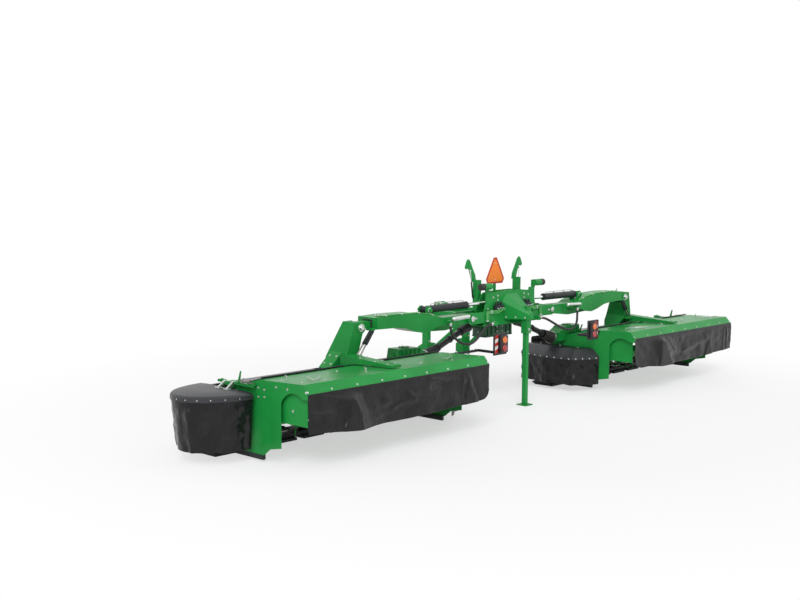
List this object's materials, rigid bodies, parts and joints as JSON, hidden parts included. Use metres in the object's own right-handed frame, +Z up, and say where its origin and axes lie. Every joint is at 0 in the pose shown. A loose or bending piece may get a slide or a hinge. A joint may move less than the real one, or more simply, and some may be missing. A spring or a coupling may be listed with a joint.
{
  "type": "rear-mounted twin-wing disc mower conditioner",
  "caption": "Wide rear-mounted mower conditioner: two folding wings with disc cutterbars, finger rotors, green hoods and black cloth guards on a central frame with a three-point hitch.",
  "frame": {"origin": "on the ground, midway across the machine and in the middle of its depth", "axes": "+X to the machine's right, +Y the direction of travel, +Z up"},
  "size_m": [10.834, 2.343, 2.02],
  "materials": {
    "green_paint": "gloss enamel",
    "dark_paint": "satin enamel",
    "chrome": "polished",
    "steel": "bare steel",
    "black_plastic": "moulded",
    "rubber": "matte",
    "black_cloth": "coated cloth, soft gloss",
    "orange_sign": "fluorescent film"
  },
  "bodies": {
    "centre": {"centre_frame": "green_paint", "headstock": "green_paint", "gearbox": "dark_paint", "transport_hooks": "green_paint", "slow_sign": "orange_sign", "right_hose": "rubber", "left_hose": "rubber"},
    "front_stand": {"front_stand": "green_paint"},
    "rear_stand": {"rear_stand": "green_paint"},
    "right_arm": {"right_arm": "green_paint"},
    "right_slide": {"right_slide_tube": "green_paint"},
    "right_unit": {"right_unit_frame": "green_paint", "right_hood": "green_paint", "right_side_walls": "green_paint", "right_cutterbar": "steel", "right_front_cover": "black_cloth", "right_rear_curtain": "black_cloth", "right_inner_guard": "black_cloth", "right_lamp_board": "black_plastic", "right_shaft_boot": "rubber"},
    "right_outer_guard": {"right_outer_lid": "black_plastic", "right_outer_skirt": "black_cloth"},
    "right_rotor": {"right_rotor": "steel"},
    "right_disc_1": {"right_disc_1": "steel"},
    "right_disc_2": {"right_disc_2": "steel"},
    "right_disc_3": {"right_disc_3": "steel"},
    "right_disc_4": {"right_disc_4": "steel"},
    "right_disc_5": {"right_disc_5": "steel"},
    "right_disc_6": {"right_disc_6": "steel"},
    "right_disc_7": {"right_disc_7": "steel"},
    "right_disc_8": {"right_disc_8": "steel"},
    "right_barrel": {"right_lift_barrel": "dark_paint"},
    "right_rod": {"right_lift_rod": "chrome"},
    "right_drive_shaft": {"right_drive_shaft": "black_plastic"},
    "left_arm": {"left_arm": "green_paint"},
    "left_slide": {"left_slide_tube": "green_paint"},
    "left_unit": {"left_unit_frame": "green_paint", "left_hood": "green_paint", "left_side_walls": "green_paint", "left_cutterbar": "steel", "left_front_cover": "black_cloth", "left_rear_curtain": "black_cloth", "left_inner_guard": "black_cloth", "left_lamp_board": "black_plastic", "left_shaft_boot": "rubber"},
    "left_outer_guard": {"left_outer_lid": "black_plastic", "left_outer_skirt": "black_cloth"},
    "left_rotor": {"left_rotor": "steel"},
    "left_disc_1": {"left_disc_1": "steel"},
    "left_disc_2": {"left_disc_2": "steel"},
    "left_disc_3": {"left_disc_3": "steel"},
    "left_disc_4": {"left_disc_4": "steel"},
    "left_disc_5": {"left_disc_5": "steel"},
    "left_disc_6": {"left_disc_6": "steel"},
    "left_disc_7": {"left_disc_7": "steel"},
    "left_disc_8": {"left_disc_8": "steel"},
    "left_barrel": {"left_lift_barrel": "dark_paint"},
    "left_rod": {"left_lift_rod": "chrome"},
    "left_drive_shaft": {"left_drive_shaft": "black_plastic"}
  },
  "joints": [
    {"name": "right_arm_lift", "type": "hinge", "parent": "centre", "child": "right_arm", "pos_m": [0.91, -0.1135, 1.25], "axis": [0, -1, 0], "range_deg": [-4, 90], "deforming": ["right_hose"]},
    {"name": "right_side_shift", "type": "slide", "parent": "right_arm", "child": "right_slide", "axis": [1, 0, 0], "range_m": [0, 0.25]},
    {"name": "right_pendulum", "type": "hinge", "parent": "right_slide", "child": "right_unit", "pos_m": [2.97, -0.1135, 1.3], "axis": [0, -1, 0], "range_deg": [-8, 8], "deforming": ["right_shaft_boot"]},
    {"name": "right_guard_fold", "type": "hinge", "parent": "right_unit", "child": "right_outer_guard", "pos_m": [4.74, 0.0765, 0.815], "axis": [0, -1, 0], "range_deg": [0, 110]},
    {"name": "right_rotor_spin", "type": "hinge", "parent": "right_unit", "child": "right_rotor", "pos_m": [3.2, -0.1835, 0.4], "axis": [1, 0, 0], "continuous": true},
    {"name": "right_barrel_swing", "type": "hinge", "parent": "right_arm", "child": "right_barrel", "pos_m": [1.71, -0.1135, 1.42], "axis": [0, -1, 0], "range_deg": [-47, 3]},
    {"name": "right_cylinder_stroke", "type": "slide", "parent": "right_barrel", "child": "right_rod", "axis": [-1, 0, 0.0062], "range_m": [-0.74, 0.06]},
    {"name": "right_drive_swing", "type": "hinge", "parent": "centre", "child": "right_drive_shaft", "pos_m": [0.56, 0.1215, 1.085], "axis": [0, -1, 0], "range_deg": [-5, 63]},
    {"name": "right_disc_1_spin", "type": "hinge", "parent": "right_unit", "child": "right_disc_1", "pos_m": [1.66875, 0.3265, 0.12], "axis": [0, 0, 1], "continuous": true},
    {"name": "right_disc_2_spin", "type": "hinge", "parent": "right_unit", "child": "right_disc_2", "pos_m": [2.10625, 0.3265, 0.12], "axis": [0, 0, 1], "continuous": true},
    {"name": "right_disc_3_spin", "type": "hinge", "parent": "right_unit", "child": "right_disc_3", "pos_m": [2.54375, 0.3265, 0.12], "axis": [0, 0, 1], "continuous": true},
    {"name": "right_disc_4_spin", "type": "hinge", "parent": "right_unit", "child": "right_disc_4", "pos_m": [2.98125, 0.3265, 0.12], "axis": [0, 0, 1], "continuous": true},
    {"name": "right_disc_5_spin", "type": "hinge", "parent": "right_unit", "child": "right_disc_5", "pos_m": [3.41875, 0.3265, 0.12], "axis": [0, 0, 1], "continuous": true},
    {"name": "right_disc_6_spin", "type": "hinge", "parent": "right_unit", "child": "right_disc_6", "pos_m": [3.85625, 0.3265, 0.12], "axis": [0, 0, 1], "continuous": true},
    {"name": "right_disc_7_spin", "type": "hinge", "parent": "right_unit", "child": "right_disc_7", "pos_m": [4.29375, 0.3265, 0.12], "axis": [0, 0, 1], "continuous": true},
    {"name": "right_disc_8_spin", "type": "hinge", "parent": "right_unit", "child": "right_disc_8", "pos_m": [4.73125, 0.3265, 0.12], "axis": [0, 0, 1], "continuous": true},
    {"name": "left_arm_lift", "type": "hinge", "parent": "centre", "child": "left_arm", "pos_m": [-0.91, -0.1135, 1.25], "axis": [0, 1, 0], "range_deg": [-4, 90], "deforming": ["left_hose"]},
    {"name": "left_side_shift", "type": "slide", "parent": "left_arm", "child": "left_slide", "axis": [-1, 0, 0], "range_m": [0, 0.25]},
    {"name": "left_pendulum", "type": "hinge", "parent": "left_slide", "child": "left_unit", "pos_m": [-2.97, -0.1135, 1.3], "axis": [0, 1, 0], "range_deg": [-8, 8], "deforming": ["left_shaft_boot"]},
    {"name": "left_guard_fold", "type": "hinge", "parent": "left_unit", "child": "left_outer_guard", "pos_m": [-4.74, 0.0765, 0.815], "axis": [0, 1, 0], "range_deg": [0, 110]},
    {"name": "left_rotor_spin", "type": "hinge", "parent": "left_unit", "child": "left_rotor", "pos_m": [-3.2, -0.1835, 0.4], "axis": [1, 0, 0], "continuous": true},
    {"name": "left_barrel_swing", "type": "hinge", "parent": "left_arm", "child": "left_barrel", "pos_m": [-1.71, -0.1135, 1.42], "axis": [0, 1, 0], "range_deg": [-47, 3]},
    {"name": "left_cylinder_stroke", "type": "slide", "parent": "left_barrel", "child": "left_rod", "axis": [1, 0, 0.0062], "range_m": [-0.74, 0.06]},
    {"name": "left_drive_swing", "type": "hinge", "parent": "centre", "child": "left_drive_shaft", "pos_m": [-0.56, 0.1215, 1.085], "axis": [0, 1, 0], "range_deg": [-5, 63]},
    {"name": "left_disc_1_spin", "type": "hinge", "parent": "left_unit", "child": "left_disc_1", "pos_m": [-1.66875, 0.3265, 0.12], "axis": [0, 0, 1], "continuous": true},
    {"name": "left_disc_2_spin", "type": "hinge", "parent": "left_unit", "child": "left_disc_2", "pos_m": [-2.10625, 0.3265, 0.12], "axis": [0, 0, 1], "continuous": true},
    {"name": "left_disc_3_spin", "type": "hinge", "parent": "left_unit", "child": "left_disc_3", "pos_m": [-2.54375, 0.3265, 0.12], "axis": [0, 0, 1], "continuous": true},
    {"name": "left_disc_4_spin", "type": "hinge", "parent": "left_unit", "child": "left_disc_4", "pos_m": [-2.98125, 0.3265, 0.12], "axis": [0, 0, 1], "continuous": true},
    {"name": "left_disc_5_spin", "type": "hinge", "parent": "left_unit", "child": "left_disc_5", "pos_m": [-3.41875, 0.3265, 0.12], "axis": [0, 0, 1], "continuous": true},
    {"name": "left_disc_6_spin", "type": "hinge", "parent": "left_unit", "child": "left_disc_6", "pos_m": [-3.85625, 0.3265, 0.12], "axis": [0, 0, 1], "continuous": true},
    {"name": "left_disc_7_spin", "type": "hinge", "parent": "left_unit", "child": "left_disc_7", "pos_m": [-4.29375, 0.3265, 0.12], "axis": [0, 0, 1], "continuous": true},
    {"name": "left_disc_8_spin", "type": "hinge", "parent": "left_unit", "child": "left_disc_8", "pos_m": [-4.73125, 0.3265, 0.12], "axis": [0, 0, 1], "continuous": true},
    {"name": "front_stand_slide", "type": "slide", "parent": "centre", "child": "front_stand", "axis": [0, 0, 1], "range_m": [0, 0.36]},
    {"name": "rear_stand_slide", "type": "slide", "parent": "centre", "child": "rear_stand", "axis": [0, 0, 1], "range_m": [0, 0.7]}
  ],
  "couplings": [
    {"joint": "right_barrel_swing", "follows": "right_arm_lift", "ratio": -0.5062},
    {"joint": "right_cylinder_stroke", "follows": "right_arm_lift", "m_per_rad": -0.4577},
    {"joint": "right_drive_swing", "follows": "right_arm_lift", "ratio": 0.6687},
    {"joint": "right_disc_2_spin", "follows": "right_disc_1_spin", "ratio": -1},
    {"joint": "right_disc_3_spin", "follows": "right_disc_1_spin", "ratio": 1},
    {"joint": "right_disc_4_spin", "follows": "right_disc_1_spin", "ratio": -1},
    {"joint": "right_disc_5_spin", "follows": "right_disc_1_spin", "ratio": 1},
    {"joint": "right_disc_6_spin", "follows": "right_disc_1_spin", "ratio": -1},
    {"joint": "right_disc_7_spin", "follows": "right_disc_1_spin", "ratio": 1},
    {"joint": "right_disc_8_spin", "follows": "right_disc_1_spin", "ratio": -1},
    {"joint": "right_rotor_spin", "follows": "right_disc_1_spin", "ratio": 0.3},
    {"joint": "left_barrel_swing", "follows": "left_arm_lift", "ratio": -0.5062},
    {"joint": "left_cylinder_stroke", "follows": "left_arm_lift", "m_per_rad": -0.4577},
    {"joint": "left_drive_swing", "follows": "left_arm_lift", "ratio": 0.6687},
    {"joint": "left_disc_1_spin", "follows": "right_disc_1_spin", "ratio": -1},
    {"joint": "left_disc_2_spin", "follows": "right_disc_1_spin", "ratio": 1},
    {"joint": "left_disc_3_spin", "follows": "right_disc_1_spin", "ratio": -1},
    {"joint": "left_disc_4_spin", "follows": "right_disc_1_spin", "ratio": 1},
    {"joint": "left_disc_5_spin", "follows": "right_disc_1_spin", "ratio": -1},
    {"joint": "left_disc_6_spin", "follows": "right_disc_1_spin", "ratio": 1},
    {"joint": "left_disc_7_spin", "follows": "right_disc_1_spin", "ratio": -1},
    {"joint": "left_disc_8_spin", "follows": "right_disc_1_spin", "ratio": 1},
    {"joint": "left_rotor_spin", "follows": "right_disc_1_spin", "ratio": 0.3}
  ]
}
